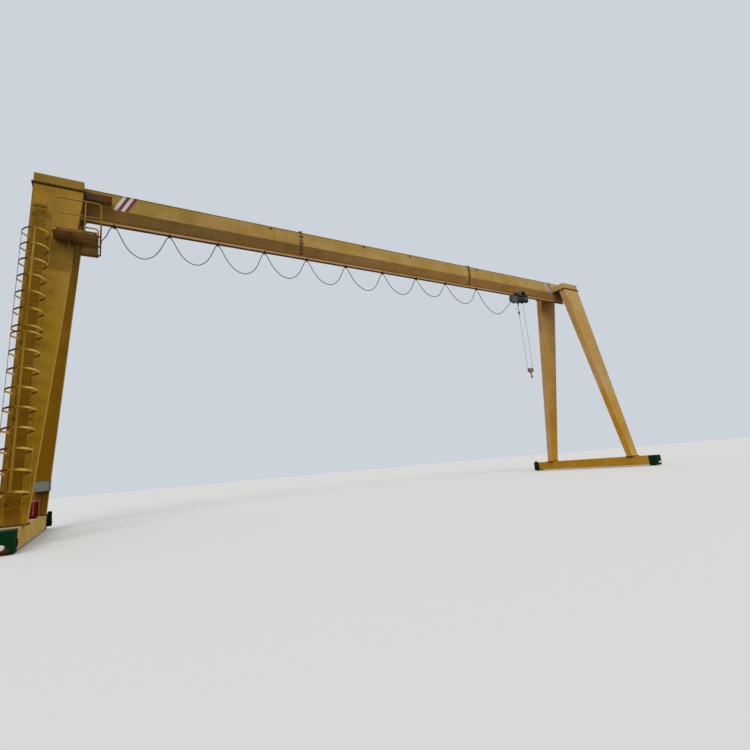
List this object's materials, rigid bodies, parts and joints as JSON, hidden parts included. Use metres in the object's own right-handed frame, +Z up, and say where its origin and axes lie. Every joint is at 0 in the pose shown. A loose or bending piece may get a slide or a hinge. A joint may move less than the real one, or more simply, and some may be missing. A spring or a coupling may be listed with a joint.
{
  "type": "gantry crane",
  "caption": "Single-girder gantry crane on two ground beams with splayed box legs, caged ladder, platform, festoon cable and a travelling wire-rope hoist with hook.",
  "frame": {"origin": "mid span between the two rails, on the level of the lowest points of the travel wheels' flanges, 20 mm under the rail heads on which the wheels stand", "axes": "+X along the girder toward the end without the ladder, +Y along the rails away from the ladder side, +Z up"},
  "size_m": [26.665, 7.84, 11.25],
  "materials": {
    "yellow_paint": "weathered yellow paint with dirt streaks",
    "green_paint": "dark green machine paint, dusty",
    "grey_paint": "satin grey",
    "red_paint": "satin red",
    "brown_paint": "faded red-brown",
    "worn_steel": "worn and greasy",
    "dark_steel": "dark, dull",
    "pale_rubber": "pale moulded",
    "cable_rubber": "dull black"
  },
  "bodies": {
    "gantry": {"girder_left": "yellow_paint", "girder_middle": "yellow_paint", "girder_right": "yellow_paint", "splice_plates": "yellow_paint", "girder_lugs": "dark_steel", "track_beam": "yellow_paint", "saddle_left": "yellow_paint", "saddle_right": "yellow_paint", "leg_left_near": "yellow_paint", "leg_left_far": "yellow_paint", "leg_right_near": "yellow_paint", "leg_right_far": "yellow_paint", "ground_beam_left": "yellow_paint", "ground_beam_right": "yellow_paint", "truck_left_near": "green_paint", "truck_left_far": "green_paint", "truck_right_near": "green_paint", "truck_right_far": "green_paint", "travel_wheels": "worn_steel", "travel_drives": "green_paint", "buffers": "pale_rubber", "service_shelf": "yellow_paint", "ladder": "yellow_paint", "cage_lower": "yellow_paint", "cage_upper": "yellow_paint", "platform_deck": "yellow_paint", "platform_brackets": "yellow_paint", "handrail": "yellow_paint", "control_box": "grey_paint", "warning_unit": "red_paint", "festoon_hangers": "dark_steel", "festoon_cable": "cable_rubber"},
    "trolley": {"trolley_frame": "green_paint", "trolley_rollers": "worn_steel", "trolley_motor": "green_paint", "drum_housing": "green_paint", "hoist_gearbox": "green_paint", "hoist_motor": "green_paint", "electric_box": "green_paint", "limit_switch": "dark_steel", "hoist_ropes": "worn_steel"},
    "hook_block": {"block_cheeks": "brown_paint", "block_sheaves": "worn_steel", "rope_bight": "worn_steel"},
    "hook": {"hook": "dark_steel"}
  },
  "joints": [
    {"name": "trolley_travel", "type": "slide", "parent": "gantry", "child": "trolley", "axis": [1, 0, 0], "range_m": [-17, 2.2], "deforming": ["festoon_cable", "festoon_hangers"]},
    {"name": "hook_hoist", "type": "slide", "parent": "trolley", "child": "hook_block", "axis": [0, 0, 1], "range_m": [-4.9, 3], "deforming": ["hoist_ropes"]},
    {"name": "hook_swivel", "type": "hinge", "parent": "hook_block", "child": "hook", "pos_m": [9.13, 0, 5.4], "axis": [0, 0, 1], "continuous": true}
  ]
}
